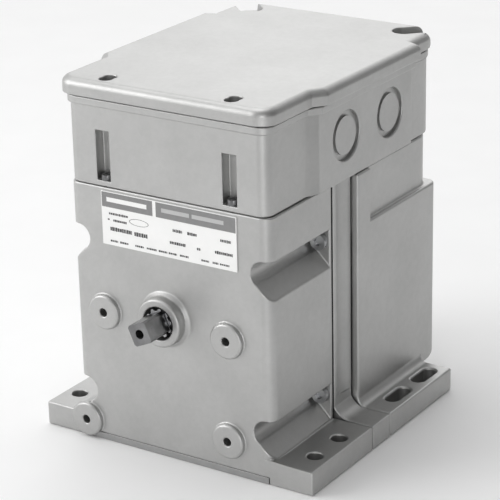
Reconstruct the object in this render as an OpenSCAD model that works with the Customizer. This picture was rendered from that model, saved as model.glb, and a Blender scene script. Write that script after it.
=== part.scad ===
// Motorized valve actuator: die-cast gear case in three sections, wiring box on top, square output shaft.
// Origin: centre of the feet's footprint, on the mounting surface. +Z up, the power end faces -Y.

/* [Feet] */
// Width over the mounting feet
foot_span = 140; // [136:1:146]
// Depth of the mounting feet
foot_depth = 124; // [120:1:128]
// Thickness of the feet
foot_t = 11; // [9:0.5:12]
// Thickness of the closing plate under the case
base_plate_t = 3; // [2:0.5:3]

/* [Gear case] */
// Width of the front housing and middle plate
case_w = 101.6; // [101:0.2:102.4]
// Width of the rear housing
rear_w = 107.2; // [106.6:0.2:107.6]
// Height of the gear case
case_h = 120; // [119:0.5:122]
// Back face of the rear housing
rear_y = 77; // [75:0.5:79]
// Casting wall thickness
wall = 4; // [3.5:0.1:4]
// Radius of the upright corners
corner_r = 5; // [4:0.5:6]
// Thickness of the middle plate
plate_t = 14.7; // [14:0.1:15]
// Thickness of the case gaskets
gasket_t = 0.8; // [0.5:0.1:1]

/* [Wiring box] */
// Height of the wiring box and its cover together
box_total_h = 47; // [45:0.5:50]
// Height of the cover
cover_h = 7.2; // [7:0.1:8]
// Width of the wiring box at its front
box_w = 100.2; // [99.8:0.2:100.8]
// Wall thickness of the wiring box
box_wall = 3; // [2.5:0.1:3.2]
// Diameter of the conduit knockouts
knockout_d = 22.2; // [21:0.2:22.4]

/* [Output shaft] */
// Across the flats of the square ends
square_af = 9.525; // [9:0.005:9.6]
// Diameter of the round part
shaft_d = 12.7; // [12.5:0.1:12.8]
// How far the power end stands out of the front face
power_reach = 19; // [16:0.5:20]
// How far the auxiliary end stands out of the back face
aux_reach = 15; // [12:0.5:18]
// Turn of the square end at rest
square_turn = 24; // [0:1:44]

/* [Gear train] */
// Teeth of the output gear
out_teeth = 60; // [60]
// Teeth of the second wheel
second_teeth = 48; // [48]
// Teeth of the first wheel
first_teeth = 45; // [45]
// Teeth of the two cluster pinions
pinion_teeth = 12; // [12]
// Teeth of the motor pinion
motor_teeth = 10; // [10]
// Share of the tooth width left as backlash
backlash = 0.16; // [0.14:0.01:0.2]

/* [Hidden] */
$fn = 48;

// depth stations
front_y = -foot_depth / 2;
feet_rear = foot_depth / 2;
plate_y0 = -10.7;
plate_y1 = plate_y0 + plate_t;
front_end = plate_y0 - gasket_t;
rear_start = plate_y1 + gasket_t;
web_y0 = -5;
web_y1 = -1;

// height stations
box_z = case_h + 0.4;
cover_top = case_h + box_total_h;
cover_z = cover_top - cover_h;
box_top = cover_z - gasket_t;
box_floor = box_z + box_wall;
ledge_z = 96;

// case features
inset_x = rear_w / 2 - 2.3;
inset_y = 16;
plate_slot = 97;
screw_x = 46.2;
groove_x = 47;
groove_r = 5.8;
groove_z = [95, 23];
lug_seat = -14.4;
case_screw_r = 2;
joint_w = 1.4;
joint_depth = 1.6;
channel_r = 15.6;
channel_x = 49.4;

// foot holes at the front, slots at the rear
foot_hole_x = 62.6;
foot_hole_y = [-47.6, -27.6];
foot_hole_r = 3.6;
slot_mid_y = [24.5, 48.5];
slot_len = 17;
slot_r = 3.4;

// output shaft axis and front pads [x, z]
shaft_x = -2.5;
shaft_z = 65.5;
pad_h = 2.3;
pad_r = 8;
pad_tap_r = 1.9;
pad_pair = [[shaft_x - 31.75, 62.6], [shaft_x + 31.75, 62.6]];
pads = concat(pad_pair, [[28.8, 16], [-46.6, 8.6]]);
boss_r = 11;
boss_out = 6;
rear_boss_out = 4;
bush_r = 8.5;
bush_len = 12;
shaft_gap = 0.04;

// gear train: modules in mm, axes in the XZ plane
out_m = 1;
second_m = 0.8;
first_m = 0.6;
feedback_m = 0.8;
feedback_teeth = 36;
pot_teeth = 20;
function centre_distance(za, zb, m) = (za + zb) * m / 2;
function along(from, dist, angle) = [from[0] + dist * cos(angle), from[1] + dist * sin(angle)];
out_axis = [shaft_x, shaft_z];
second_dir = -65;
first_dir = 170;
motor_dir = 190;
pot_dir = 50;
second_axis = along(out_axis, centre_distance(out_teeth, pinion_teeth, out_m), second_dir);
first_axis = along(second_axis, centre_distance(second_teeth, pinion_teeth, second_m), first_dir);
motor_axis = along(first_axis, centre_distance(first_teeth, motor_teeth, first_m), motor_dir);
pot_axis = along(out_axis, centre_distance(feedback_teeth, pot_teeth, feedback_m), pot_dir);
second_spindle_r = 3;
first_spindle_r = 2.5;
motor_shaft_r = 2;
pot_shaft_r = 3;

// motor
stator_y = [16, 44];
stator_r = 20;
stator_bore = 11.4;
rotor_r = 11;
motor_post_r = 18.2;
motor_post_dirs = [45, 112, 248, 315];
motor_screw_r = 1.5;
bearing_r = 6.5;
bearing_t = 5;
bracket_y = [52, 55];

// wiring box plan: half widths at the front, the knockout panel and the rear
box_front_x = box_w / 2;
box_mid_x = rear_w / 2 - 0.6;
box_rear_x = inset_x;
bend_y = [-32, -26];
step_y = [53, 55];
rear_r = 10;
upper_back = rear_y - 2.5;
slot_x = [28.5, 35.4];
slot_z = [122.8, 145];
slot_depth = 5.5;
knockout_y = [-3.6, 33.6];
knockout_z = 140;
cover_screw_at = [[31.4, -55], [41, 68]];
cover_screw_r = 1.75;
cover_head_r = 2.7;
box_screw_front = [32, -59.3];
box_screw_rear = [36, 56];
box_screw_r = 1.75;
notch_z = 163.3;
notch_r = 5.6;

function mirrored(pts) = concat(pts, [for (i = [len(pts) - 1 : -1 : 0]) [-pts[i][0], pts[i][1]]]);
function arc(cx, cy, r, a0, a1, n = 6) =
    [for (i = [0 : n]) [cx + r * cos(a0 + (a1 - a0) * i / n), cy + r * sin(a0 + (a1 - a0) * i / n)]];
// closed plan outline: front half width, middle, rear, front and back edges, corner radii
function box_plan(xf, xm, xr, yf, yb, rf, rb) = mirrored(concat(
    arc(xf - rf, yf + rf, rf, -90, 0),
    [[xf, bend_y[0]], [xm, bend_y[1]], [xm, step_y[0]], [xr, step_y[1]]],
    arc(xr - rb, yb - rb, rb, 0, 90)));

module slab(x0, x1, y0, y1, z0, z1) {
    translate([x0, y0, z0]) cube([x1 - x0, y1 - y0, z1 - z0]);
}

// round bar along Y at [x, z]
module bar_y(at, r, y0, y1) {
    translate([at[0], y0, at[1]]) rotate([-90, 0, 0]) cylinder(r = r, h = y1 - y0);
}

// round bar along Z at [x, y]
module bar_z(at, r, z0, z1) {
    translate([at[0], at[1], z0]) cylinder(r = r, h = z1 - z0);
}

// extrudes an XZ profile between two depths
module profile_y(y0, y1) {
    translate([0, y1, 0]) rotate([90, 0, 0]) linear_extrude(y1 - y0) children();
}

module both_sides() {
    children();
    mirror([1, 0, 0]) children();
}

// plan with rounded corners at its -Y end
module front_rounded(w, y0, y1, r) {
    translate([-w / 2, y0 + r]) square([w, y1 - y0 - r]);
    translate([-w / 2 + r, y0]) square([w - 2 * r, r]);
    for (s = [-1, 1])
        translate([s * (w / 2 - r), y0 + r]) circle(r = r);
}

module rear_rounded(w, y0, y1, r) {
    mirror([0, 1]) front_rounded(w, -y1, -y0, r);
}

// driver groove: round bottom, level roof, floor falling outwards at 45 degrees
module groove_profile(grow = 0) {
    r = groove_r + grow;
    out = 12;
    roof = r - 0.25;
    fall = roof * sqrt(2);
    circle(r = r);
    polygon([[0, roof], [out, roof], [out, -fall - out], [-fall / 2, -fall / 2], [0, 0]]);
}

module grooves(y0, y1, grow = 0) {
    both_sides()
        profile_y(y0, y1)
            for (z = groove_z)
                translate([groove_x, z]) groove_profile(grow);
}

module case_screw_axes(y0, y1, r) {
    for (s = [-1, 1], z = groove_z)
        bar_y([s * screw_x, z], r, y0, y1);
}

// socket head screw along +Y, head seated at y
module cap_screw_y(at, y, r, len, head_r, head_h) {
    difference() {
        union() {
            bar_y(at, head_r, y - head_h, y);
            bar_y(at, r, y, y + len);
        }
        translate([at[0], y - head_h - 0.1, at[1]]) rotate([-90, 0, 0])
            cylinder(r = head_r * 0.5, h = head_h * 0.6, $fn = 6);
    }
}

// slotted screw along -Z, head seated at z
module slot_screw_z(at, z, r, len, head_r, head_h) {
    difference() {
        union() {
            bar_z(at, head_r, z, z + head_h);
            bar_z(at, r, z - len, z);
        }
        slab(at[0] - head_r, at[0] + head_r, at[1] - 0.4, at[1] + 0.4, z + head_h * 0.55, z + head_h + 1);
    }
}

// boss standing off a face at y towards -Y, with a chamfered rim
module pad_y(at, r, y, h) {
    chamfer = 0.7;
    bar_y(at, r, y - h + chamfer, y);
    translate([at[0], y - h, at[1]]) rotate([-90, 0, 0])
        cylinder(r1 = r - chamfer, r2 = r, h = chamfer);
}

// ---- gears ----
pressure = 20;
function inv(a) = tan(a) * 180 / PI - a;
function half_tooth(r, z, m) =
    let (rb = z * m / 2 * cos(pressure))
    90 / z * (1 - backlash) + inv(pressure) - (r > rb ? inv(acos(rb / r)) : 0);
function flank(z, m) =
    let (rp = z * m / 2, root = rp - 1.2 * m, tip = rp + 0.85 * m, rb = rp * cos(pressure),
         low = max(root, rb), n = 4)
    concat(rb > root ? [[root, half_tooth(rb, z, m)]] : [],
           [for (i = [0 : n]) let (r = low + (tip - low) * i / n) [r, half_tooth(r, z, m)]]);
function gear_outline(z, m) = [
    for (t = [0 : z - 1], side = [-1, 1])
        let (f = flank(z, m), n = len(f))
        for (i = [0 : n - 1])
            let (p = side < 0 ? f[i] : f[n - 1 - i], a = 360 / z * t + side * p[1])
            [p[0] * cos(a), p[0] * sin(a)]
];

module gear_y(at, z, m, y0, y1, phase) {
    translate([at[0], y1, at[1]]) rotate([90, 0, 0])
        linear_extrude(y1 - y0)
            rotate(phase)
                polygon(gear_outline(z, m));
}

// phase that puts a gap of the mating gear on the line of centres
function gap_phase(dir, z) = dir + 180 + 180 / z;

// ---- castings ----
module front_cavity() {
    difference() {
        slab(-case_w / 2 + wall, case_w / 2 - wall, front_y + wall, front_end + 1, 7, case_h - wall);
        grooves(front_y, front_end + 1, 3.5);
        for (p = pads)
            bar_y(p, pad_r - 1, front_y, front_y + 11);
        bar_y(out_axis, bush_r + 3.5, front_y, front_y + bush_len + 1.5);
        bar_y(second_axis, second_spindle_r + 3, front_y, front_y + 8);
        for (s = [-1, 1])
            slab(s * 32 - 5, s * 32 + 5, front_y, front_y + 9, case_h - 14, case_h);
    }
}

module front_housing() {
    color("silver") difference() {
        union() {
            difference() {
                linear_extrude(case_h) front_rounded(case_w, front_y, front_end, corner_r);
                grooves(front_y - 1, lug_seat);
            }
            slab(-foot_span / 2, foot_span / 2, front_y, front_end, 0, foot_t);
            for (p = pads)
                pad_y(p, pad_r, front_y, pad_h);
            bar_y(pads[3], pad_r - 0.8, front_y, front_y + 9);
            pad_y(out_axis, boss_r, front_y, boss_out);
            translate([shaft_x, front_y - 1.6, shaft_z]) rotate([-90, 0, 0])
                cylinder(r1 = boss_r, r2 = boss_r + 1.6, h = 1.6);
        }
        front_cavity();
        slab(-plate_slot / 2, plate_slot / 2, front_y, front_end + 1, -1, base_plate_t);
        both_sides()
            slab(case_w / 2 - joint_depth, case_w / 2 + 1, front_end - joint_w, front_end + 1, foot_t, case_h + 1);
        case_screw_axes(lug_seat - 1, front_end + 1, case_screw_r + 0.25);
        for (p = pads)
            bar_y(p, pad_tap_r, front_y - pad_h - 1, front_y + 9);
        bar_y(out_axis, 7.5, front_y - boss_out - 1, front_y + 1.6);
        bar_y(out_axis, bush_r, front_y + 1.5, front_y + 20);
        bar_y(second_axis, second_spindle_r, front_y + 3, front_y + 20);
        both_sides() foot_holes_front();
        for (s = [-1, 1])
            bar_z([s * box_screw_front[0], box_screw_front[1]], box_screw_r, case_h - 12, case_h + 1);
        for (s = [-1, 1])
            bar_z([s * 40, -44], 1.6, -1, 7.5);
    }
}

module foot_holes_front() {
    for (y = foot_hole_y)
        bar_z([foot_hole_x, y], foot_hole_r, -1, foot_t + 1);
}

module foot_slots_rear() {
    reach = slot_len / 2 - slot_r;
    for (y = slot_mid_y) {
        for (e = [-1, 1])
            bar_z([foot_hole_x, y + e * reach], slot_r, -1, foot_t + 1);
        slab(foot_hole_x - slot_r, foot_hole_x + slot_r, y - reach, y + reach, -1, foot_t + 1);
    }
}

module middle_plate() {
    fillet = 9;
    color("gainsboro") difference() {
        union() {
            slab(-case_w / 2 + 0.4, case_w / 2 - 0.4, plate_y0, plate_y1, 0, case_h);
            slab(-foot_span / 2, foot_span / 2, plate_y0, plate_y1, 0, foot_t);
            both_sides() difference() {
                slab(channel_x - 2, channel_x + fillet, plate_y0, plate_y1, foot_t, foot_t + fillet);
                bar_y([channel_x + fillet, foot_t + fillet], fillet, plate_y0 - 1, plate_y1 + 1);
            }
        }
        both_sides()
            bar_z([channel_x + channel_r, (plate_y0 + plate_y1) / 2], channel_r, foot_t + fillet, case_h + 1);
        middle_pockets();
        slab(-plate_slot / 2, plate_slot / 2, plate_y0 - 1, plate_y1 + 1, -1, base_plate_t);
        case_screw_axes(plate_y0 - 1, plate_y1 + 1, case_screw_r + 0.25);
        bar_y(out_axis, 7.6, plate_y0 - 1, plate_y1 + 1);
        bar_y(second_axis, second_spindle_r, web_y0 - 6, web_y1 + 1);
        bar_y(first_axis, first_spindle_r, web_y0 - 6, web_y1 + 1);
        bar_y(motor_axis, bearing_r, -8, web_y0 + 2.1);
        bar_y(motor_axis, motor_shaft_r + 1, web_y0, web_y1 + 1);
        motor_post_axes(web_y0 - 1, plate_y1 + 1, motor_screw_r);
    }
}

module middle_pockets() {
    x = 39;
    difference() {
        union() {
            slab(-x, x, plate_y0 - 1, web_y0, 9, case_h - 8);
            slab(-x, x, web_y1, plate_y1 + 1, 9, case_h - 8);
        }
        bar_y(out_axis, 11, plate_y0, plate_y1);
        bar_y(motor_axis, bearing_r + 2.5, -8, web_y1);
        bar_y(second_axis, 6.5, -8, web_y1);
        bar_y(first_axis, 6, -8, web_y1);
        motor_post_pads();
    }
}

module motor_post_axes(y0, y1, r) {
    for (a = motor_post_dirs)
        bar_y(along(motor_axis, motor_post_r, a), r, y0, y1);
}

module motor_post_pads() {
    motor_post_axes(web_y1 - 0.5, plate_y1, 3);
}

module rear_cavity() {
    upper_x = inset_x - wall;
    difference() {
        union() {
            slab(-rear_w / 2 + wall, rear_w / 2 - wall, rear_start - 1, rear_y - wall, 13, ledge_z - wall);
            translate([0, 0, ledge_z - wall - 1]) linear_extrude(case_h - ledge_z + 1)
                rear_rounded(2 * upper_x, rear_start - 1, upper_back - wall, rear_r - wall);
        }
        case_screw_axes(rear_start, rear_start + 10, 4.5);
        bar_y(out_axis, bush_r + 3.5, rear_y - bush_len - 2, rear_y);
        for (p = pad_pair)
            bar_y(p, pad_r - 1, rear_y - 11, rear_y);
        for (s = [-1, 1])
            slab(s * 36 - 5, s * 36 + 5, 51, 62, case_h - 14, case_h);
    }
}

module rear_housing() {
    under_r = 9;
    fillet = 4;
    color("silver") difference() {
        union() {
            linear_extrude(ledge_z) rear_rounded(rear_w, rear_start, rear_y, corner_r);
            linear_extrude(case_h) upper_plan();
            slab(-foot_span / 2, foot_span / 2, rear_start, feet_rear, 0, foot_t);
            both_sides() difference() {
                slab(rear_w / 2 - 1, rear_w / 2 + fillet, rear_start, feet_rear, foot_t, foot_t + fillet);
                bar_y([rear_w / 2 + fillet, foot_t + fillet], fillet, rear_start - 1, feet_rear + 1);
            }
            bar_y(out_axis, boss_r, rear_y - 1, rear_y + rear_boss_out);
            for (p = pad_pair)
                bar_y(p, pad_r, rear_y - 1, rear_y + pad_h);
        }
        rear_cavity();
        slab(-plate_slot / 2, plate_slot / 2, rear_start - 1, feet_rear + 1, -1, base_plate_t);
        slab(-foot_span, foot_span, feet_rear, rear_y + 1, -1, 9);
        difference() {
            slab(-foot_span, foot_span, rear_y - under_r, rear_y + 1, 8, 9 + under_r);
            translate([-foot_span, rear_y - under_r, 9 + under_r]) rotate([0, 90, 0])
                cylinder(r = under_r, h = 2 * foot_span);
        }
        case_screw_axes(rear_start - 1, rear_start + 9, case_screw_r);
        bar_y(out_axis, bush_r, rear_y - 20, rear_y - 1.5);
        bar_y(out_axis, 7.5, rear_y - 2, rear_y + rear_boss_out + 1);
        for (p = pad_pair)
            bar_y(p, pad_tap_r, rear_y - 9, rear_y + pad_h + 1);
        both_sides() foot_slots_rear();
        for (s = [-1, 1])
            bar_z([s * box_screw_rear[0], box_screw_rear[1]], box_screw_r, case_h - 12, case_h + 1);
        bar_z(grommet_at, 6, case_h - wall - 1, case_h + 1);
        for (s = [-1, 1])
            bar_z([s * 40, 50], 1.6, -1, 9);
    }
}

// plan of the gear case above the ledge: full width at its front, inset behind with round rear corners
module upper_plan() {
    translate([-rear_w / 2, rear_start]) square([rear_w, inset_y - rear_start]);
    rear_rounded(2 * inset_x, rear_start, upper_back, rear_r);
}

module plate_frame_gasket(y0, y1) {
    outer_x = case_w / 2 - 0.8;
    inner_x = 37;
    profile_y(y0, y1) difference() {
        translate([-outer_x, base_plate_t + 0.5]) square([2 * outer_x, case_h - base_plate_t - 2]);
        translate([-inner_x, 13]) square([2 * inner_x, case_h - 25]);
        for (s = [-1, 1], z = groove_z)
            translate([s * screw_x, z]) circle(r = case_screw_r + 0.4);
    }
}

module front_gasket() {
    color("dimgray") plate_frame_gasket(front_end, plate_y0);
}

module rear_gasket() {
    color("dimgray") plate_frame_gasket(plate_y1, rear_start);
}

module base_plate() {
    color("darkgray") difference() {
        slab(-plate_slot / 2 + 0.2, plate_slot / 2 - 0.2, front_y, feet_rear, 0, base_plate_t);
        base_screw_axes(-1, base_plate_t + 1, 1.8);
        base_screw_axes(-1, 1.6, 3.2);
    }
}

module base_screw_axes(z0, z1, r) {
    for (s = [-1, 1], y = [-44, 50])
        bar_z([s * 40, y], r, z0, z1);
}

module base_plate_screws() {
    color("gray") for (s = [-1, 1], y = [-44, 50])
        mirror([0, 0, 1]) slot_screw_z([s * 40, y], -1.6, 1.6, 5, 3, 1.4);
}

module housing_screws() {
    color("dimgray") for (s = [-1, 1], z = groove_z)
        cap_screw_y([s * screw_x, z], lug_seat, case_screw_r, 28, 3.7, 2.8);
}

plate_x = [-33.5, 35.2];
plate_z = [94.5, 118.6];

module nameplate() {
    color("whitesmoke")
        slab(plate_x[0], plate_x[1], front_y - 0.5, front_y, plate_z[0], plate_z[1]);
}

module ring_y(at, r_out, r_in, y0, y1) {
    difference() {
        bar_y(at, r_out, y0, y1);
        bar_y(at, r_in, y0 - 1, y1 + 1);
    }
}

module shaft_seal() {
    color("black") ring_y(out_axis, 7.5, shaft_d / 2 + 0.06, front_y - 1.5, front_y + 1.5);
}

module front_bush() {
    color("peru") ring_y(out_axis, bush_r, shaft_d / 2 + shaft_gap, front_y + 1.6, front_y + 1.6 + bush_len);
}

module rear_bush() {
    color("peru") ring_y(out_axis, bush_r, shaft_d / 2 + shaft_gap, rear_y - 1.5 - bush_len, rear_y - 1.5);
}

// ---- output shaft and what turns with it ----
shaft_tip = front_y - power_reach;
shaft_tail = rear_y + aux_reach;
collar_y = front_y - 4.6;
neck_r = 4.7;

module square_end(y0, y1) {
    turned_r = 6.1;
    intersection() {
        translate([shaft_x, y1, shaft_z]) rotate([90, 0, 0])
            linear_extrude(y1 - y0) rotate(square_turn) square(square_af, center = true);
        bar_y(out_axis, turned_r, y0, y1);
    }
}

module output_shaft() {
    color("dimgray") difference() {
        union() {
            square_end(shaft_tip, collar_y - 1);
            bar_y(out_axis, neck_r, collar_y - 1, collar_y + 2);
            bar_y(out_axis, shaft_d / 2, collar_y + 2, rear_y - 0.5);
            square_end(rear_y - 0.5, shaft_tail);
        }
        bar_y(out_axis, 2.1, shaft_tip - 1, shaft_tip + 12);
        bar_y(out_axis, 2.1, shaft_tail - 12, shaft_tail + 1);
    }
}

module toothed_collar() {
    teeth = 10;
    ring_r = 5.5;
    tooth_r = 6.6;
    color("lightgray") translate([shaft_x, collar_y + 2, shaft_z]) rotate([90, 0, 0])
        linear_extrude(2.6) difference() {
            polygon([for (i = [0 : teeth - 1], e = [[0, ring_r], [8, tooth_r], [18, tooth_r], [26, ring_r]])
                let (a = 360 / teeth * i + e[0]) [e[1] * cos(a), e[1] * sin(a)]]);
            circle(r = neck_r);
        }
}

out_gear_y = [-46, -38];

module output_gear() {
    color("goldenrod") difference() {
        union() {
            gear_y(out_axis, out_teeth, out_m, out_gear_y[0], out_gear_y[1], second_dir);
            bar_y(out_axis, 10, out_gear_y[1] - 1, out_gear_y[1] + 5);
        }
        bar_y(out_axis, shaft_d / 2, out_gear_y[0] - 1, out_gear_y[1] + 6);
        for (a = [0 : 60 : 300])
            bar_y(along(out_axis, 19, a), 4.5, out_gear_y[0] - 1, out_gear_y[1] + 1);
    }
}

cam_y = [9, 16];
cam_t = 4;
cam_r = 12;
cam_low_r = 9.5;
lobe_at = [150, 275];

module limit_cams() {
    color("ivory") for (i = [0, 1]) difference() {
        union() {
            bar_y(out_axis, cam_low_r, cam_y[i], cam_y[i] + cam_t);
            profile_y(cam_y[i], cam_y[i] + cam_t) translate(out_axis) intersection() {
                circle(r = cam_r);
                rotate(lobe_at[i]) square([30, 30]);
            }
        }
        bar_y(out_axis, shaft_d / 2, cam_y[i] - 1, cam_y[i] + cam_t + 1);
    }
}

feedback_y = [25, 29];

module feedback_gear() {
    color("ivory") difference() {
        gear_y(out_axis, feedback_teeth, feedback_m, feedback_y[0], feedback_y[1], pot_dir);
        bar_y(out_axis, shaft_d / 2, feedback_y[0] - 1, feedback_y[1] + 1);
    }
}

module shaft_rings() {
    color("gray") {
        ring_y(out_axis, 8.2, shaft_d / 2, out_gear_y[0] - 0.8, out_gear_y[0]);
        ring_y(out_axis, 8.2, shaft_d / 2, rear_y - 1.5 - bush_len - 1.4, rear_y - 1.5 - bush_len - 0.4);
    }
}

// ---- reduction gears ----
second_wheel_y = [-36, -30];
first_wheel_y = [-24, -19];

module second_spindle() {
    color("lightgray") bar_y(second_axis, second_spindle_r, front_y + 3, web_y1);
}

module second_gear() {
    color("darkkhaki") difference() {
        union() {
            gear_y(second_axis, pinion_teeth, out_m, out_gear_y[0] - 1, out_gear_y[1] + 1,
                   gap_phase(second_dir, pinion_teeth));
            gear_y(second_axis, second_teeth, second_m, second_wheel_y[0], second_wheel_y[1], first_dir);
            bar_y(second_axis, 4.6, out_gear_y[1] + 0.5, -9);
        }
        bar_y(second_axis, second_spindle_r + shaft_gap, -60, 0);
    }
}

module first_spindle() {
    color("lightgray") bar_y(first_axis, first_spindle_r, out_gear_y[1] + 0.6, web_y1);
}

module first_gear() {
    color("goldenrod") difference() {
        union() {
            gear_y(first_axis, pinion_teeth, second_m, second_wheel_y[0] - 1, second_wheel_y[1] + 1,
                   gap_phase(first_dir, pinion_teeth));
            gear_y(first_axis, first_teeth, first_m, first_wheel_y[0], first_wheel_y[1], motor_dir);
            bar_y(first_axis, 3.7, second_wheel_y[1] + 0.5, -9);
        }
        bar_y(first_axis, first_spindle_r + shaft_gap, -60, 0);
    }
}

module motor_shaft() {
    color("lightgray") {
        gear_y(motor_axis, motor_teeth, first_m, first_wheel_y[0] - 1, first_wheel_y[1] + 1,
               gap_phase(motor_dir, motor_teeth));
        bar_y(motor_axis, motor_shaft_r, first_wheel_y[0] - 1, bracket_y[1] + 1);
    }
}

module motor_rotor() {
    color("gray") ring_y(motor_axis, rotor_r, motor_shaft_r, stator_y[0], stator_y[1]);
}

module motor_bearings() {
    color("lightsteelblue") {
        ring_y(motor_axis, bearing_r, motor_shaft_r + 0.03, -7.9, -7.9 + bearing_t);
        ring_y(motor_axis, bearing_r, motor_shaft_r + 0.03, bracket_y[0] - 2, bracket_y[0] + 2.5);
    }
}

module motor_stator() {
    slots = 12;
    color("slategray") difference() {
        bar_y(motor_axis, stator_r, stator_y[0], stator_y[1]);
        bar_y(motor_axis, stator_bore, stator_y[0] - 1, stator_y[1] + 1);
        motor_post_axes(stator_y[0] - 1, stator_y[1] + 1, motor_screw_r + 0.1);
        for (i = [0 : slots - 1])
            bar_y(along(motor_axis, 13.6, 360 / slots * i), 1.3, stator_y[0] - 1, stator_y[1] + 1);
    }
}

module motor_windings() {
    color("chocolate") for (y = [stator_y[0] - 6.5, stator_y[1]])
        ring_y(motor_axis, 15.4, 12, y, y + 6.5);
}

module motor_end_bracket() {
    color("silver") difference() {
        union() {
            bar_y(motor_axis, stator_r, bracket_y[0], bracket_y[1]);
            bar_y(motor_axis, bearing_r + 2, bracket_y[0] - 2, bracket_y[1]);
        }
        bar_y(motor_axis, bearing_r, bracket_y[0] - 3, bracket_y[0] + 2.5);
        bar_y(motor_axis, motor_shaft_r + 0.6, bracket_y[0], bracket_y[1] + 1);
        motor_post_axes(bracket_y[0] - 3, bracket_y[1] + 1, motor_screw_r + 0.1);
    }
}

module motor_spacers() {
    color("lightgray") for (a = motor_post_dirs, y = [[plate_y1, stator_y[0]], [stator_y[1], bracket_y[0]]])
        ring_y(along(motor_axis, motor_post_r, a), 2.3, motor_screw_r + 0.1, y[0], y[1]);
}

module motor_screws() {
    color("gray") for (a = motor_post_dirs)
        translate([0, bracket_y[1], 0]) mirror([0, 1, 0])
            cap_screw_y(along(motor_axis, motor_post_r, a), 0, motor_screw_r, bracket_y[1] - web_y0, 2.6, 2.4);
}

cap_axis = [27, 31];
cap_r = 12;

module run_capacitor() {
    color("black") {
        bar_y(cap_axis, cap_r, 16, 60);
        for (s = [-1, 1])
            slab(cap_axis[0] + s * 4 - 1.5, cap_axis[0] + s * 4 + 1.5, 60, 67, cap_axis[1] - 0.4, cap_axis[1] + 0.4);
    }
}

module capacitor_clamp() {
    color("gray") difference() {
        union() {
            bar_y(cap_axis, cap_r + 1.2, 34, 44);
            slab(cap_axis[0] - 6, cap_axis[0] + 6, 34, 44, 13, cap_axis[1] - cap_r + 2);
        }
        bar_y(cap_axis, cap_r, 33, 45);
    }
}

pot_y = [34, 46];

module feedback_potentiometer() {
    color("royalblue") difference() {
        union() {
            bar_y(pot_axis, 11, pot_y[0], pot_y[1]);
            bar_y(pot_axis, 4.7, pot_y[0] - 4, pot_y[0]);
            slab(pot_axis[0] - 8, pot_axis[0] + 8, pot_y[0] + 4, pot_y[0] + 5.5, pot_axis[1] + 9, pot_axis[1] + 17);
        }
        bar_y(pot_axis, pot_shaft_r + shaft_gap, pot_y[0] - 5, pot_y[0] + 8);
    }
}

module potentiometer_bracket() {
    x0 = pot_axis[0] + 4;
    color("lightgray") difference() {
        union() {
            slab(pot_axis[0] - 8, x0 + 20, pot_y[0] - 2, pot_y[0], pot_axis[1] - 8, pot_axis[1] + 9);
            slab(x0 + 18, x0 + 20, plate_y1 - 5, pot_y[0], pot_axis[1] - 8, pot_axis[1] + 9);
            slab(x0 + 11, x0 + 20, plate_y1 - 5, plate_y1 - 3.4, pot_axis[1] - 8, pot_axis[1] + 9);
        }
        bar_y(pot_axis, 4.7, pot_y[0] - 3, pot_y[0] + 1);
    }
}

module potentiometer_gear() {
    color("ivory") union() {
        gear_y(pot_axis, pot_teeth, feedback_m, feedback_y[0], feedback_y[1], gap_phase(pot_dir, pot_teeth));
        bar_y(pot_axis, pot_shaft_r, feedback_y[1] - 1, pot_y[0] + 7);
    }
}

// ---- limit switches ----
switch_x = [17.6, 27.6];
switch_z = [46, 66];
lever_pivot = [15, 48.2];
lever_r = 1;
roller_r = 2.2;
cam_clear = 0.4;

module switch_bracket() {
    color("lightgray")
        slab(switch_x[0], switch_x[1], web_y1, 22, switch_z[0] - 1.5, switch_z[0]);
}

module limit_switches() {
    color("black") for (y = cam_y) {
        difference() {
            union() {
                slab(switch_x[0], switch_x[1], y - 0.5, y + cam_t + 0.5, switch_z[0], switch_z[1]);
                for (ear = [y - 0.5, y + cam_t - 0.7])
                    slab(lever_pivot[0] - 1.8, switch_x[0] + 1, ear, ear + 1.2, switch_z[0], lever_pivot[1] + 1.8);
            }
            bar_y(lever_pivot, lever_r + shaft_gap, y - 1, y + cam_t + 1);
        }
        for (z = [switch_z[0] + 4, switch_z[1] - 4])
            slab(switch_x[1], switch_x[1] + 5, y + 1.5, y + 2.3, z - 1.5, z + 1.5);
    }
}

module switch_lever(y) {
    roller = [shaft_x + cam_r + cam_clear + roller_r, shaft_z];
    blade = 0.4;
    color("gold") {
        bar_y(lever_pivot, lever_r, y - 0.3, y + cam_t + 0.3);
        slab(lever_pivot[0] - blade, lever_pivot[0] + blade, y + 1, y + cam_t - 1, lever_pivot[1], roller[1]);
        slab(roller[0], lever_pivot[0] + blade, y + 1, y + cam_t - 1, roller[1] - blade, roller[1] + blade);
        bar_y(roller, roller_r, y + 0.5, y + cam_t - 0.5);
    }
}

module switch_lever_front() { switch_lever(cam_y[0]); }
module switch_lever_rear() { switch_lever(cam_y[1]); }

// ---- wiring box ----
grommet_at = [33, 23];

function plan(d) = box_plan(box_front_x + d, box_mid_x + d, box_rear_x + d, front_y - d, rear_y + d, corner_r + d, rear_r + d);
// flared rim and cover overhang more at the knockout panels than at the ends
function rim_plan(d, mid) =
    box_plan(box_front_x + d, box_mid_x + mid, box_rear_x + d / 2, front_y - d, rear_y + d, corner_r + d, rear_r + d);

module box_gasket() {
    color("dimgray") translate([0, 0, case_h]) linear_extrude(box_z - case_h) difference() {
        polygon(box_plan(box_front_x - 1, box_mid_x - 1, box_rear_x - 1, front_y + 1, upper_back - 0.6, corner_r, rear_r));
        polygon(box_plan(box_front_x - 6, box_mid_x - 9, box_rear_x - 7, front_y + 11, upper_back - 8, 2, 4));
        for (s = [-1, 1], p = [box_screw_front, box_screw_rear])
            translate([s * p[0], p[1]]) circle(r = box_screw_r + 0.3);
        translate(grommet_at) circle(r = 6);
    }
}

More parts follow.
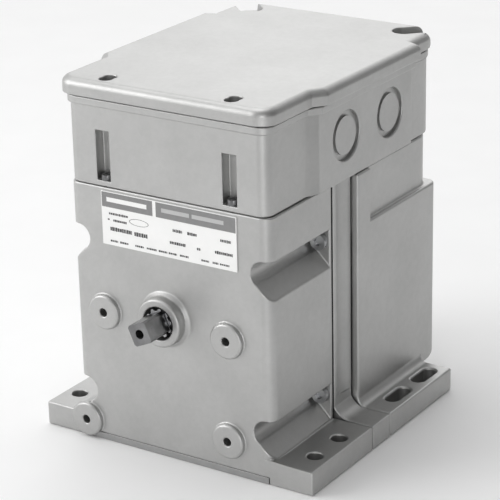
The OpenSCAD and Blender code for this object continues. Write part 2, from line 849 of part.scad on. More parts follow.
module wiring_box() {
    color("gainsboro") difference() {
        union() {
            translate([0, 0, box_z]) linear_extrude(box_top - box_z) polygon(plan(0));
            translate([0, 0, box_top - 3.4]) linear_extrude(3.4) polygon(rim_plan(1.3, 2));
        }
        difference() {
            translate([0, 0, box_floor]) linear_extrude(box_total_h) polygon(plan(-box_wall));
            for (s = [-1, 1]) {
                slab(s * 32 - 6.2, s * 32 + 6.2, front_y, front_y + 12, box_z, box_top);
                slab(s * 41 - 5, s * 41 + 5, 63, 75, box_z, box_top);
            }
        }
        for (s = [-1, 1]) {
            slab(s * 31.95 - 3.45, s * 31.95 + 3.45, front_y - 3, front_y + slot_depth, slot_z[0], slot_z[1]);
            for (p = cover_screw_at)
                bar_z([s * p[0], p[1]], cover_screw_r + 0.15, box_top - 10, box_top + 1);
            for (p = [box_screw_front, box_screw_rear])
                bar_z([s * p[0], p[1]], box_screw_r + 0.25, box_z - 1, slot_z[0] + 2);
        }
        knockout_bores();
        bar_z(grommet_at, 6, box_z - 1, box_floor + 1);
        bar_z([-38, -44], 1.6, box_z + 0.6, box_floor + 1);
        for (x = [-14, 14])
            bar_z([x, 62], 1.6, box_z + 0.6, box_floor + 1);
    }
}

module knockout_bores() {
    for (s = [-1, 1], y = knockout_y)
        translate([s * (box_mid_x - box_wall - 1), y, knockout_z]) rotate([0, s * 90, 0])
            cylinder(r = knockout_d / 2, h = box_wall + 3);
}

// stamped disc: raised centre inside a thin breakable ring
module knockout_discs() {
    centre_r = knockout_d / 2 - 2.6;
    color("lightgray") for (s = [-1, 1], y = knockout_y)
        translate([s * (box_mid_x - box_wall), y, knockout_z]) rotate([0, s * 90, 0]) {
            cylinder(r = knockout_d / 2, h = 1.2);
            cylinder(r = centre_r, h = box_wall - 0.5);
        }
}

module wiring_box_screws() {
    color("dimgray") for (s = [-1, 1]) {
        slot_screw_z([s * box_screw_front[0], box_screw_front[1]], slot_z[0], box_screw_r, 13, 2.6, 2.4);
        slot_screw_z([s * box_screw_rear[0], box_screw_rear[1]], box_floor, box_screw_r, 14, 3.2, 2.4);
    }
}

// ---- inside the wiring box ----
board_x = 38;
board_y = [-36, 14];
board_z = box_floor + 4;
board_t = 1.6;
standoffs = [[board_x - 4, board_y[0] + 4], [board_x - 4, board_y[1] - 4]];

module circuit_board() {
    color("seagreen") difference() {
        slab(-board_x, board_x, board_y[0], board_y[1], board_z, board_z + board_t);
        for (s = [-1, 1], p = standoffs)
            bar_z([s * p[0], p[1]], 1.6, board_z - 1, board_z + board_t + 1);
    }
}

module board_standoffs() {
    color("ivory") for (s = [-1, 1], p = standoffs) {
        bar_z([s * p[0], p[1]], 3, box_floor, board_z);
        bar_z([s * p[0], p[1]], 1.6, board_z, board_z + board_t + 1.4);
    }
}

terminals = 6;
terminal_pitch = 9.5;
terminal_x0 = -terminals * terminal_pitch / 2;
terminal_y = [-33, -19];
terminal_base = board_z + board_t;

module terminal_block() {
    color("black") {
        slab(terminal_x0 - 1.5, -terminal_x0 + 1.5, terminal_y[0], terminal_y[1], terminal_base, terminal_base + 7);
        for (i = [0 : terminals]) {
            x = terminal_x0 + i * terminal_pitch;
            slab(x - 0.9, x + 0.9, terminal_y[0], terminal_y[1], terminal_base + 7, terminal_base + 13);
        }
    }
}

module terminal_screws() {
    color("khaki") for (i = [0 : terminals - 1]) {
        x = terminal_x0 + (i + 0.5) * terminal_pitch;
        slab(x - 3.4, x + 3.4, terminal_y[0] + 1, terminal_y[1] - 1, terminal_base + 7, terminal_base + 7.8);
        difference() {
            bar_z([x, terminal_y[0] + 7], 2.8, terminal_base + 7.8, terminal_base + 10);
            slab(x - 3, x + 3, terminal_y[0] + 6.6, terminal_y[0] + 7.4, terminal_base + 9, terminal_base + 11);
        }
    }
}

module board_relays() {
    color("darkslategray") for (x = [-20, 4])
        slab(x, x + 15, -9, 9, board_z + board_t, board_z + board_t + 14);
}

module board_capacitors() {
    color("navy") for (y = [-12, -3, 6])
        bar_z([28, y], 3.8, board_z + board_t, board_z + board_t + 12);
}

core_x = 21;
core_y = [28, 54];
core_z = [box_floor, box_floor + 30];
leg = 7;

module transformer_core() {
    color("gray") union() {
        difference() {
            slab(-core_x, core_x, core_y[0] + 5, core_y[1] - 5, core_z[0], core_z[1]);
            for (s = [-1, 1])
                slab(s * (core_x + leg) / 2 - 4, s * (core_x + leg) / 2 + 4, core_y[0], core_y[1],
                     core_z[0] + 5, core_z[1] - 5);
        }
        difference() {
            slab(-core_x, core_x, core_y[1] - 5, core_y[1] + 12, core_z[0], core_z[0] + 1.5);
            for (x = [-14, 14])
                bar_z([x, 62], 1.9, core_z[0] - 1, core_z[0] + 3);
        }
    }
}

module transformer_coil() {
    z0 = core_z[0] + 5.2;
    z1 = core_z[1] - 5.2;
    inner = (core_x + leg) / 2 - 4;
    outer = (core_x + leg) / 2 + 3.8;
    color("chocolate") difference() {
        slab(-outer, outer, core_y[0], core_y[1], z0, z1);
        slab(-inner - 0.1, inner + 0.1, core_y[0] + 4.9, core_y[1] - 4.9, z0 - 1, z1 + 1);
    }
}

module transformer_screws() {
    color("gray") for (x = [-14, 14])
        slot_screw_z([x, 62], core_z[0] + 1.5, 1.6, 3.8, 3, 2);
}

module wire_grommet() {
    color("black") difference() {
        union() {
            bar_z(grommet_at, 6, box_z, box_floor);
            bar_z(grommet_at, 8, box_floor, box_floor + 1.5);
        }
        bar_z(grommet_at, 3.8, box_z - 1, box_floor + 3);
    }
}

module ground_screw() {
    color("green") slot_screw_z([-38, -44], box_floor, 1.6, 2.4, 3.8, 2.2);
}

// ---- cover ----
cover_t = 2.8;

module cover_gasket() {
    color("dimgray") translate([0, 0, box_top]) linear_extrude(gasket_t) difference() {
        polygon(rim_plan(0.3, 0.8));
        polygon(rim_plan(-2.6, -2.4));
        for (s = [-1, 1], p = cover_screw_at)
            translate([s * p[0], p[1]]) circle(r = cover_screw_r + 0.3);
    }
}

// short slot around a front cover screw, running towards the rounded edge
module cover_slot(at) {
    half = cover_head_r + 0.1;
    run = 3;
    translate([at[0], at[1], notch_z]) {
        translate([0, -run, 0]) cylinder(r = half + 0.2, h = 10);
        translate([-half, -run, 0]) cube([2 * half, run, 10]);
    }
}

// recess around a rear cover screw, open to the corner
module cover_notch(at, turn) {
    half = notch_r - 0.2;
    translate([at[0], at[1], notch_z]) {
        cylinder(r = notch_r, h = 10);
        rotate(turn) translate([-half, -20, 0]) cube([2 * half, 20, 10]);
    }
}

module top_cover() {
    color("whitesmoke") difference() {
        union() {
            difference() {
                translate([0, 0, cover_z]) linear_extrude(cover_h) polygon(rim_plan(3.2, 4.7));
                translate([0, 0, cover_z - 1]) linear_extrude(cover_h - cover_t + 1) polygon(rim_plan(-2.2, -2));
            }
            for (s = [-1, 1], p = cover_screw_at)
                intersection() {
                    bar_z([s * p[0], p[1]], notch_r + 2.4, cover_z, cover_top);
                    translate([0, 0, cover_z]) linear_extrude(cover_h) polygon(rim_plan(3.2, 4.7));
                }
        }
        for (s = [-1, 1]) {
            mirror([s < 0 ? 1 : 0, 0, 0]) {
                cover_slot(cover_screw_at[0]);
                cover_notch(cover_screw_at[1], 135);
            }
            for (p = cover_screw_at) {
                bar_z([s * p[0], p[1]], cover_screw_r + 0.2, cover_z - 1, cover_top);
                bar_z([s * p[0], p[1]], cover_head_r + 0.3, notch_z - 1.6, cover_top + 1);
            }
        }
    }
}

module cover_screws() {
    color("dimgray") for (s = [-1, 1], p = cover_screw_at)
        slot_screw_z([s * p[0], p[1]], notch_z - 1.6, cover_screw_r - 0.15, 10, cover_head_r, 1.8);
}

front_housing();
middle_plate();
rear_housing();
front_gasket();
rear_gasket();
base_plate();
base_plate_screws();
housing_screws();
nameplate();
shaft_seal();
front_bush();
rear_bush();
output_shaft();
toothed_collar();
output_gear();
limit_cams();
feedback_gear();
shaft_rings();
second_spindle();
second_gear();
first_spindle();
first_gear();
motor_shaft();
motor_rotor();
motor_bearings();
motor_stator();
motor_windings();
motor_end_bracket();
motor_spacers();
motor_screws();
run_capacitor();
capacitor_clamp();
feedback_potentiometer();
potentiometer_bracket();
potentiometer_gear();
switch_bracket();
limit_switches();
switch_lever_front();
switch_lever_rear();
box_gasket();
wiring_box();
wiring_box_screws();
knockout_discs();
circuit_board();
board_standoffs();
terminal_block();
terminal_screws();
board_relays();
board_capacitors();
transformer_core();
transformer_coil();
transformer_screws();
wire_grommet();
ground_screw();
cover_gasket();
top_cover();
cover_screws();
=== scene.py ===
import bpy
import bmesh
import math
import random
from mathutils import Matrix, Vector
from mathutils.bvhtree import BVHTree
from mathutils.geometry import delaunay_2d_cdt


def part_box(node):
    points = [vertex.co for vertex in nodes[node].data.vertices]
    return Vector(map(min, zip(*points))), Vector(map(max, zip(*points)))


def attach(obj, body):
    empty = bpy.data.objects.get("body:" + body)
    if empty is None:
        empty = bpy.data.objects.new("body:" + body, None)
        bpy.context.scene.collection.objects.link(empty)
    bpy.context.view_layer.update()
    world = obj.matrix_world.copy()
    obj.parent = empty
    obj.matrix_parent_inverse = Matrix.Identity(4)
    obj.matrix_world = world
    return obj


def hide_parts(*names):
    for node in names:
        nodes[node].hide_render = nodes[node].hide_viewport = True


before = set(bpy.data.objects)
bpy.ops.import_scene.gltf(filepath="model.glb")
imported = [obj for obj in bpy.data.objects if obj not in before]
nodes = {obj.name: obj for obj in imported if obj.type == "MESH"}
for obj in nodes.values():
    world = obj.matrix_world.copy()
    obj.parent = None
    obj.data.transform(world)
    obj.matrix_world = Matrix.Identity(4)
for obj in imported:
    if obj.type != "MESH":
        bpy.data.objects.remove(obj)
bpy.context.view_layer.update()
scene = bpy.context.scene
mm = 0.001
print("frame loaded:", len(nodes), "CAD nodes")


# ---- colour and material helpers ----
def hexToLinear(code):
    channels = [int(code[i:i + 2], 16) / 255 for i in (1, 3, 5)]
    return tuple(c / 12.92 if c <= 0.04045 else ((c + 0.055) / 1.055) ** 2.4 for c in channels) + (1.0,)


def addNode(tree, kind, settings=None, links=None):
    # settings fill input sockets (by name or number) or node properties
    # links name the sockets that feed an input
    node = tree.nodes.new("ShaderNode" + kind)
    for key, value in (settings or {}).items():
        if key == "ramp":
            ramp = node.color_ramp
            while len(ramp.elements) < len(value):
                ramp.elements.new(0.5)
            for element, (place, colour) in zip(ramp.elements, value):
                element.position = place
                element.color = colour
        elif isinstance(key, int) or key in node.inputs:
            node.inputs[key].default_value = value
        else:
            setattr(node, key, value)
    for key, socket in (links or {}).items():
        tree.links.new(socket, node.inputs[key])
    return node


def startMaterial(name):
    material = bpy.data.materials.new(name)
    material.use_nodes = True
    tree = material.node_tree
    tree.nodes.clear()
    return material, tree, addNode(tree, "TexCoord").outputs["Object"]


def endMaterial(tree, settings, links):
    shader = addNode(tree, "BsdfPrincipled", settings, links)
    addNode(tree, "OutputMaterial", links={"Surface": shader.outputs["BSDF"]})


def perMetre(sizeMm):
    # noise and voronoi scale that repeats once in sizeMm
    return 1000 / sizeMm


waveRepeats = 20   # bands of a wave texture in one unit at a scale of 1


def grey(value):
    return (value, value, value, 1.0)


# ---- materials ----
# Die-cast aluminium, shot-blasted and clear-coated: a sand-like grain spreads highlights into soft bands.
# The grit is 0.4 mm on the real casting and is drawn at 0.9 mm so that it shows.
castSettings = {"pale": "#bebebd", "dark": "#b6b6b5", "grainMm": 0.9, "cloudMm": 30, "pitMm": 3.2,
                "roughness": (0.42, 0.50), "grainHeight": 0.00005}


def makeCastAluminium(name="castAluminium", pale=castSettings["pale"], dark=castSettings["dark"]):
    s = castSettings
    material, tree, place = startMaterial(name)
    grain = addNode(tree, "TexNoise", {"Scale": perMetre(s["grainMm"]), "Detail": 3.0, "Roughness": 0.65},
                    {"Vector": place})
    cloud = addNode(tree, "TexNoise", {"Scale": perMetre(s["cloudMm"]), "Detail": 2.0}, {"Vector": place})
    pits = addNode(tree, "TexNoise", {"Scale": perMetre(s["pitMm"]), "Detail": 4.0, "Roughness": 0.7},
                   {"Vector": place})
    blend = addNode(tree, "MapRange", {"From Min": 0.3, "From Max": 0.7}, {"Value": cloud.outputs["Fac"]})
    colour = addNode(tree, "Mix", {"data_type": "RGBA", 6: hexToLinear(dark), 7: hexToLinear(pale)},
                     {0: blend.outputs["Result"]})
    speck = addNode(tree, "MapRange", {"From Min": 0.35, "From Max": 0.65, "To Min": 0.97, "To Max": 1.02},
                    {"Value": pits.outputs["Fac"]})
    tone = addNode(tree, "VectorMath", {"operation": "SCALE"},
                   {0: colour.outputs[2], "Scale": speck.outputs["Result"]})
    rough = addNode(tree, "MapRange", {"To Min": s["roughness"][0], "To Max": s["roughness"][1]},
                    {"Value": grain.outputs["Fac"]})
    bump = addNode(tree, "Bump", {"Strength": 0.55, "Distance": s["grainHeight"]},
                   {"Height": grain.outputs["Fac"]})
    endMaterial(tree, {"Metallic": 1.0},
                {"Base Color": tone.outputs["Vector"], "Roughness": rough.outputs["Result"],
                 "Normal": bump.outputs["Normal"]})
    return material


# Plated, rolled or turned steel parts share one recipe: fine brush lines round or along the part.
def makeSteel(name, pale, dark, roughness, lineMm=0.35, stretch=(1, 0.08, 1), height=0.00001):
    material, tree, place = startMaterial(name)
    along = addNode(tree, "Mapping", {"Scale": stretch}, {"Vector": place})
    lines = addNode(tree, "TexNoise", {"Scale": perMetre(lineMm), "Detail": 2.0},
                    {"Vector": along.outputs["Vector"]})
    stain = addNode(tree, "TexNoise", {"Scale": perMetre(6), "Detail": 3.0}, {"Vector": place})
    colour = addNode(tree, "Mix", {"data_type": "RGBA", 6: hexToLinear(dark), 7: hexToLinear(pale)},
                     {0: stain.outputs["Fac"]})
    rough = addNode(tree, "MapRange", {"To Min": roughness - 0.06, "To Max": roughness + 0.06},
                    {"Value": lines.outputs["Fac"]})
    bump = addNode(tree, "Bump", {"Strength": 0.4, "Distance": height}, {"Height": lines.outputs["Fac"]})
    endMaterial(tree, {"Metallic": 1.0},
                {"Base Color": colour.outputs[2], "Roughness": rough.outputs["Result"],
                 "Normal": bump.outputs["Normal"]})
    return material


# Moulded plastics and rubber share one recipe: a faint spark-eroded grain and slightly uneven gloss.
def makeMoulded(name, code, roughness, grainMm=0.5, height=0.00002, ior=1.5, wear=0.12):
    material, tree, place = startMaterial(name)
    grain = addNode(tree, "TexNoise", {"Scale": perMetre(grainMm), "Detail": 2.0}, {"Vector": place})
    smear = addNode(tree, "TexNoise", {"Scale": perMetre(9), "Detail": 3.0}, {"Vector": place})
    base = hexToLinear(code)
    lighter = tuple(min(1.0, c * (1 + wear) + 0.004) for c in base[:3]) + (1.0,)
    colour = addNode(tree, "Mix", {"data_type": "RGBA", 6: base, 7: lighter}, {0: smear.outputs["Fac"]})
    rough = addNode(tree, "MapRange", {"To Min": roughness - 0.08, "To Max": roughness + 0.08},
                    {"Value": smear.outputs["Fac"]})
    bump = addNode(tree, "Bump", {"Strength": 0.5, "Distance": height}, {"Height": grain.outputs["Fac"]})
    endMaterial(tree, {"IOR": ior},
                {"Base Color": colour.outputs[2], "Roughness": rough.outputs["Result"],
                 "Normal": bump.outputs["Normal"]})
    return material


# Printed polyester film: flat white with a soft sheen and a trace of handling grime.
def makeLabelFilm():
    material, tree, place = startMaterial("printedPolyester")
    grime = addNode(tree, "TexNoise", {"Scale": perMetre(11), "Detail": 4.0}, {"Vector": place})
    colour = addNode(tree, "Mix", {"data_type": "RGBA", 6: hexToLinear("#e9e9e8"), 7: hexToLinear("#f6f6f5")},
                     {0: grime.outputs["Fac"]})
    rough = addNode(tree, "MapRange", {"To Min": 0.38, "To Max": 0.52}, {"Value": grime.outputs["Fac"]})
    endMaterial(tree, {"IOR": 1.57}, {"Base Color": colour.outputs[2], "Roughness": rough.outputs["Result"]})
    return material


# Screen-printed ink on the film: dull, a little uneven in cover.
def makeInk(name, code, thin):
    material, tree, place = startMaterial(name)
    cover = addNode(tree, "TexNoise", {"Scale": perMetre(1.4), "Detail": 3.0}, {"Vector": place})
    colour = addNode(tree, "Mix", {"data_type": "RGBA", 6: hexToLinear(code), 7: hexToLinear(thin)},
                     {0: cover.outputs["Fac"]})
    rough = addNode(tree, "MapRange", {"To Min": 0.5, "To Max": 0.65}, {"Value": cover.outputs["Fac"]})
    endMaterial(tree, {"IOR": 1.5}, {"Base Color": colour.outputs[2], "Roughness": rough.outputs["Result"]})
    return material


# Stacked silicon-steel laminations: 0.5 mm sheets show as fine lines across the stack.
def makeLaminations():
    material, tree, place = startMaterial("siliconSteelStack")
    sheets = addNode(tree, "TexWave",
                     {"Scale": perMetre(0.5) / waveRepeats, "Distortion": 0.2, "bands_direction": "Y"},
                     {"Vector": place})
    colour = addNode(tree, "Mix", {"data_type": "RGBA", 6: hexToLinear("#4c4e52"), 7: hexToLinear("#7b7d80")},
                     {0: sheets.outputs["Fac"]})
    bump = addNode(tree, "Bump", {"Strength": 0.5, "Distance": 0.00005}, {"Height": sheets.outputs["Fac"]})
    endMaterial(tree, {"Metallic": 1.0, "Roughness": 0.48},
                {"Base Color": colour.outputs[2], "Normal": bump.outputs["Normal"]})
    return material


# Enamelled copper wire: 0.6 mm turns laid side by side, dark amber where the varnish pools.
def makeCopperWinding():
    material, tree, place = startMaterial("enamelledCopper")
    turns = addNode(tree, "TexWave",
                    {"Scale": perMetre(0.6) / waveRepeats, "Distortion": 0.6, "bands_direction": "Z"},
                    {"Vector": place})
    colour = addNode(tree, "Mix", {"data_type": "RGBA", 6: hexToLinear("#5a2410"), 7: hexToLinear("#b8642c")},
                     {0: turns.outputs["Fac"]})
    bump = addNode(tree, "Bump", {"Strength": 0.8, "Distance": 0.0001}, {"Height": turns.outputs["Fac"]})
    endMaterial(tree, {"Metallic": 0.6, "Roughness": 0.32},
                {"Base Color": colour.outputs[2], "Normal": bump.outputs["Normal"]})
    return material


# Solder mask over glass laminate: glossy green with the weave just showing.
def makeBoardLaminate():
    material, tree, place = startMaterial("glassLaminate")
    weave = addNode(tree, "TexVoronoi", {"Scale": perMetre(1.1)}, {"Vector": place})
    colour = addNode(tree, "Mix", {"data_type": "RGBA", 6: hexToLinear("#0f4a2a"), 7: hexToLinear("#1a6238")},
                     {0: weave.outputs["Distance"]})
    bump = addNode(tree, "Bump", {"Strength": 0.3, "Distance": 0.00002},
                   {"Height": weave.outputs["Distance"]})
    endMaterial(tree, {"IOR": 1.52, "Roughness": 0.3},
                {"Base Color": colour.outputs[2], "Normal": bump.outputs["Normal"]})
    return material


castAluminium = makeCastAluminium()
zincPlate = makeSteel("zincPlatedSteel", "#b9babb", "#8f9092", 0.34)
blackScrew = makeSteel("oiledScrewSteel", "#8a8a8b", "#5f5f60", 0.36)
materials = {
    "sheetAluminium": makeSteel("rolledAluminium", "#b4b4b4", "#a0a0a0", 0.42, 0.6, (1, 0.02, 1)),
    "shaft": makeSteel("oiledShaftSteel", "#a2a2a3", "#5d5d5e", 0.30),
    "gasketPaper": makeMoulded("fibreGasketPaper", "#6f6f6d", 0.75, 0.3, 0.00004),
    "ground": makeSteel("groundSteel", "#c4c4c5", "#a2a2a3", 0.22),
    "gear": makeSteel("greasedGearSteel", "#8d857a", "#6a6258", 0.36),
    "bronze": makeSteel("sinteredBronze", "#b08450", "#80582e", 0.5, 0.3, (1, 1, 1), 0.00003),
    "spring": makeSteel("springBronze", "#c9a468", "#a07c40", 0.3),
    "greenScrew": makeSteel("greenPassivatedSteel", "#2c7a44", "#1c5a30", 0.35),
    "rubber": makeMoulded("nitrileRubber", "#1b1b1b", 0.7, 0.4, 0.00004),
    "blackPlastic": makeMoulded("phenolicBlack", "#161616", 0.45),
    "nylon": makeMoulded("naturalNylon", "#ded9cb", 0.5, ior=1.53),
    "bluePlastic": makeMoulded("bluePolyester", "#1d4780", 0.35),
    "canSleeve": makeMoulded("canSleeve", "#141c3c", 0.25),
}
film = makeLabelFilm()
inkGrey = makeInk("inkGrey", "#7d7d7d", "#8a8a8a")
inkDark = makeInk("inkDark", "#363636", "#484848")
inkLight = makeInk("inkLight", "#b4b4b4", "#bebebe")
laminations = makeLaminations()
copper = makeCopperWinding()
laminate = makeBoardLaminate()
print("materials made:", len(bpy.data.materials))

nodeMaterials = {
    zincPlate: ["base_plate_screws", "housing_screws", "motor_screws", "transformer_screws", "toothed_collar",
                "shaft_rings", "motor_spacers", "potentiometer_bracket", "switch_bracket", "capacitor_clamp"],
    blackScrew: ["wiring_box_screws", "cover_screws"],
    castAluminium: ["motor_end_bracket", "knockout_discs"],
    materials["sheetAluminium"]: ["base_plate"],
    materials["shaft"]: ["output_shaft"],
    materials["ground"]: ["second_spindle", "first_spindle", "motor_shaft", "motor_bearings"],
    materials["gear"]: ["output_gear", "second_gear", "first_gear"],
    materials["bronze"]: ["front_bush", "rear_bush"],
    materials["spring"]: ["switch_lever_front", "switch_lever_rear", "terminal_screws"],
    materials["greenScrew"]: ["ground_screw"],
    materials["rubber"]: ["front_gasket", "rear_gasket", "cover_gasket", "shaft_seal", "wire_grommet"],
    materials["gasketPaper"]: ["box_gasket"],
    materials["blackPlastic"]: ["run_capacitor", "limit_switches", "terminal_block", "board_relays"],
    materials["nylon"]: ["limit_cams", "feedback_gear", "potentiometer_gear", "board_standoffs"],
    materials["bluePlastic"]: ["feedback_potentiometer"],
    materials["canSleeve"]: ["board_capacitors"],
    laminations: ["motor_rotor", "motor_stator", "transformer_core"],
    copper: ["motor_windings", "transformer_coil"],
    laminate: ["circuit_board"],
    film: ["nameplate"],
}
for material, names in nodeMaterials.items():
    for name in names:
        nodes[name].data.materials.clear()
        nodes[name].data.materials.append(material)

# small turned and stamped parts get a broken edge
edgeBreak = {"weldGap": 0.002 * mm, "width": 0.18 * mm, "filmWidth": 0.05 * mm, "angle": 35}
for name in ["base_plate", "base_plate_screws", "housing_screws", "wiring_box_screws", "cover_screws",
             "output_shaft", "toothed_collar", "terminal_block", "terminal_screws", "board_relays",
             "transformer_core", "ground_screw", "nameplate"]:
    weld = nodes[name].modifiers.new("weld", "WELD")
    weld.merge_threshold = edgeBreak["weldGap"]
    bevel = nodes[name].modifiers.new("edgeBreak", "BEVEL")
    bevel.width = edgeBreak["filmWidth" if name == "nameplate" else "width"]
    bevel.segments = 2
    bevel.limit_method = "ANGLE"
    bevel.angle_limit = math.radians(edgeBreak["angle"])
    bevel.harden_normals = True
print("CAD nodes dressed")


# ---- castings ----
def addPiece(name, mesh, material, body):
    piece = bpy.data.objects.new(name, mesh)
    scene.collection.objects.link(piece)
    mesh.materials.clear()
    mesh.materials.append(material)
    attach(piece, body)
    return piece


def faceHeight(face, edge):
    # how far the face reaches from one of its edges
    a, b = (v.co for v in edge.verts)
    along = (b - a).normalized()
    return max(((v.co - a) - along * (v.co - a).dot(along)).length for v in face.verts)


def castEdgeWidth(edge, s):
    if len(edge.link_faces) != 2 or edge.calc_face_angle(0) < math.radians(s["sharpDeg"]):
        return 0
    return min(s["edgeMm"] * mm, *(s["share"] * faceHeight(f, edge) for f in edge.link_faces))


def undersideLoop(work):
    # the outer edge of the lowest flat face, in order round the casting
    low = min(v.co.z for v in work.verts)
    joined = {}
    for edge in work.edges:
        downs = [f.normal.z < -0.9 for f in edge.link_faces]
        if downs.count(True) == 1 and all(v.co.z < low + 0.01 * mm for v in edge.verts):
            a, b = edge.verts
            joined.setdefault(a, []).append(b)
            joined.setdefault(b, []).append(a)
    start = min(joined, key=lambda v: (v.co.y, v.co.x))
    loop = [start, max(joined[start], key=lambda v: v.co.x)]
    while True:
        onward = [v for v in joined[loop[-1]] if v is not loop[-2]]
        if onward[0] is start:
            return [(v.co.x, v.co.y) for v in loop]
        loop.append(onward[0])


def insetLoop(points, gap):
    # mitred inset of an anticlockwise outline
    moved = []
    for i, (x, y) in enumerate(points):
        before, after = points[i - 1], points[(i + 1) % len(points)]
        sides = [Vector((x - before[0], y - before[1])).normalized(),
                 Vector((after[0] - x, after[1] - y)).normalized()]
        inward = [Vector((-d.y, d.x)) for d in sides]
        mitre = (inward[0] + inward[1]) / (1 + inward[0].dot(inward[1]))
        moved.append((x + mitre.x * gap, y + mitre.y * gap))
    return moved


def roundTop(work, s):
    # trims the casting with an envelope whose top edge is a quarter round
    radius, spare = s["domeMm"] * mm, 0.02 * mm
    outline = undersideLoop(work)
    top = max(v.co.z for v in work.verts)
    rings = [(min(v.co.z for v in work.verts) - mm, -spare)]
    for step in range(s["domeSteps"] + 1):
        turn = math.pi / 2 * step / s["domeSteps"]
        rings.append((top - radius + radius * math.sin(turn) + spare, radius * (1 - math.cos(turn)) - spare))
    shell = bmesh.new()
    loops = [[shell.verts.new((x, y, z)) for x, y in insetLoop(outline, gap)] for z, gap in rings]
    for lower, upper in zip(loops, loops[1:]):
        for i in range(len(lower)):
            j = (i + 1) % len(lower)
            shell.faces.new((lower[i], lower[j], upper[j], upper[i]))
    shell.faces.new(loops[0][::-1])
    shell.faces.new(loops[-1])
    trimmed = []
    for name, source in (("trimBody", work), ("trimEnvelope", shell)):
        mesh = bpy.data.meshes.new(name)
        source.to_mesh(mesh)
        trimmed.append(bpy.data.objects.new(name, mesh))
        scene.collection.objects.link(trimmed[-1])
    cut = trimmed[0].modifiers.new("trim", "BOOLEAN")
    cut.operation, cut.solver, cut.object = "INTERSECT", "EXACT", trimmed[1]
    result = trimmed[0].evaluated_get(bpy.context.evaluated_depsgraph_get()).to_mesh()
    work.clear()
    work.from_mesh(result)
    shell.free()
    for extra in trimmed:
        mesh = extra.data
        bpy.data.objects.remove(extra)
        bpy.data.meshes.remove(mesh)


def settleRounding(piece, surface, limit):
    # keeps the rounded mesh, and lays points that overshot at a tight corner back on the casting
    mesh = bpy.data.meshes.new_from_object(piece.evaluated_get(bpy.context.evaluated_depsgraph_get()))
    piece.modifiers.clear()
    piece.data = mesh
    strays = 0
    for v in mesh.vertices:
        point, normal, index, gap = surface.find_nearest(v.co)
        if gap > limit:
            v.co = point
            strays += 1
    return strays


def retileCrossed(mesh):
    # where two rounded edges meet across a narrow neck, the face crosses itself and is cut up afresh
    mesh.calc_loop_triangles()
    tiled = [0] * len(mesh.polygons)
    for triangle in mesh.loop_triangles:
        tiled[triangle.polygon_index] += triangle.area
    work = bmesh.new()
    work.from_mesh(mesh)
    work.faces.ensure_lookup_table()
    surplus = 0.01 * mm ** 2
    crossed = [work.faces[p.index] for p in mesh.polygons
               if len(p.vertices) > 4 and tiled[p.index] - p.area > surplus]
    for face in crossed:
        corners = [loop.vert for loop in face.loops]
        upright = face.normal.rotation_difference(Vector((0, 0, 1))).to_matrix()
        flat = [upright @ v.co / mm for v in corners]
        depth = sum(p.z for p in flat) / len(flat)
        work.faces.remove(face)
        outline = [p.xy for p in flat]
        insideOnly, mergeMm = 1, 1e-4
        tiling = delaunay_2d_cdt(outline, [], [range(len(flat))], insideOnly, mergeMm)
        points, edges, tiles, sources = tiling[:4]
        made = []
        for p, near in zip(points, sources):
            spot = upright.transposed() @ Vector((p.x, p.y, depth)) * mm
            made.append(corners[near[0]] if near else work.verts.new(spot))
        for tile in tiles:
            verts = [made[i] for i in tile]
            if work.faces.get(verts) is None:
                work.faces.new(verts).smooth = True
    work.to_mesh(mesh)
    work.free()
    return len(crossed)


def mergeFlats(work, s):
    flat = math.radians(s["flatDeg"])
    bmesh.ops.remove_doubles(work, verts=work.verts, dist=s["weldMm"] * mm)
    bmesh.ops.dissolve_limit(work, angle_limit=flat, verts=work.verts, edges=work.edges)


def roundCasting(node, name, body, s):
    work = bmesh.new()
    work.from_mesh(nodes[node].data)
    mergeFlats(work, s)
    if "domeMm" in s:
        roundTop(work, s)
        mergeFlats(work, s)
    layer = work.edges.layers.float.new("bevel_weight_edge")
    widths = {e: castEdgeWidth(e, s) for e in work.edges}
    widest = max(widths.values())
    for edge, width in widths.items():
        edge[layer] = width / widest
        edge.smooth = len(edge.link_faces) != 2 or edge.calc_face_angle(0) < math.radians(s["sharpDeg"])
    for face in work.faces:
        face.smooth = True
    mesh = bpy.data.meshes.new(name)
    work.to_mesh(mesh)
    surface = BVHTree.FromBMesh(work)
    work.free()
    piece = addPiece(name, mesh, castAluminium, body)
    bevel = piece.modifiers.new("castRadius", "BEVEL")
    bevel.limit_method = "WEIGHT"
    bevel.width = widest
    bevel.segments = s["segments"]
    bevel.use_clamp_overlap = False
    bevel.loop_slide = False
    bevel.miter_outer = "MITER_SHARP"
    strays = settleRounding(piece, surface, s["strayShare"] * widest)
    crossed = retileCrossed(piece.data)
    weighted = piece.modifiers.new("faceNormals", "WEIGHTED_NORMAL")
    weighted.keep_sharp = True
    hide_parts(node)
    print("casting rounded:", name, len(piece.data.polygons), "faces,",
          strays, "points settled,", crossed, "faces recut")


castDefaults = {"weldMm": 0.003, "flatDeg": 0.6, "sharpDeg": 28, "share": 0.4, "segments": 3,
                "strayShare": 0.5}
castings = {
    "front_housing": ("frontHousingCasting", "casing", {"edgeMm": 0.6}),
    "middle_plate": ("middlePlateCasting", "casing", {"edgeMm": 0.6}),
    "rear_housing": ("rearHousingCasting", "casing", {"edgeMm": 0.9}),
    "wiring_box": ("wiringBoxCasting", "casing", {"edgeMm": 0.5}),
    "top_cover": ("coverCasting", "cover", {"edgeMm": 0.45, "domeMm": 3.6, "domeSteps": 9}),
}
for node, (name, body, extra) in castings.items():
    roundCasting(node, name, body, {**castDefaults, **extra})


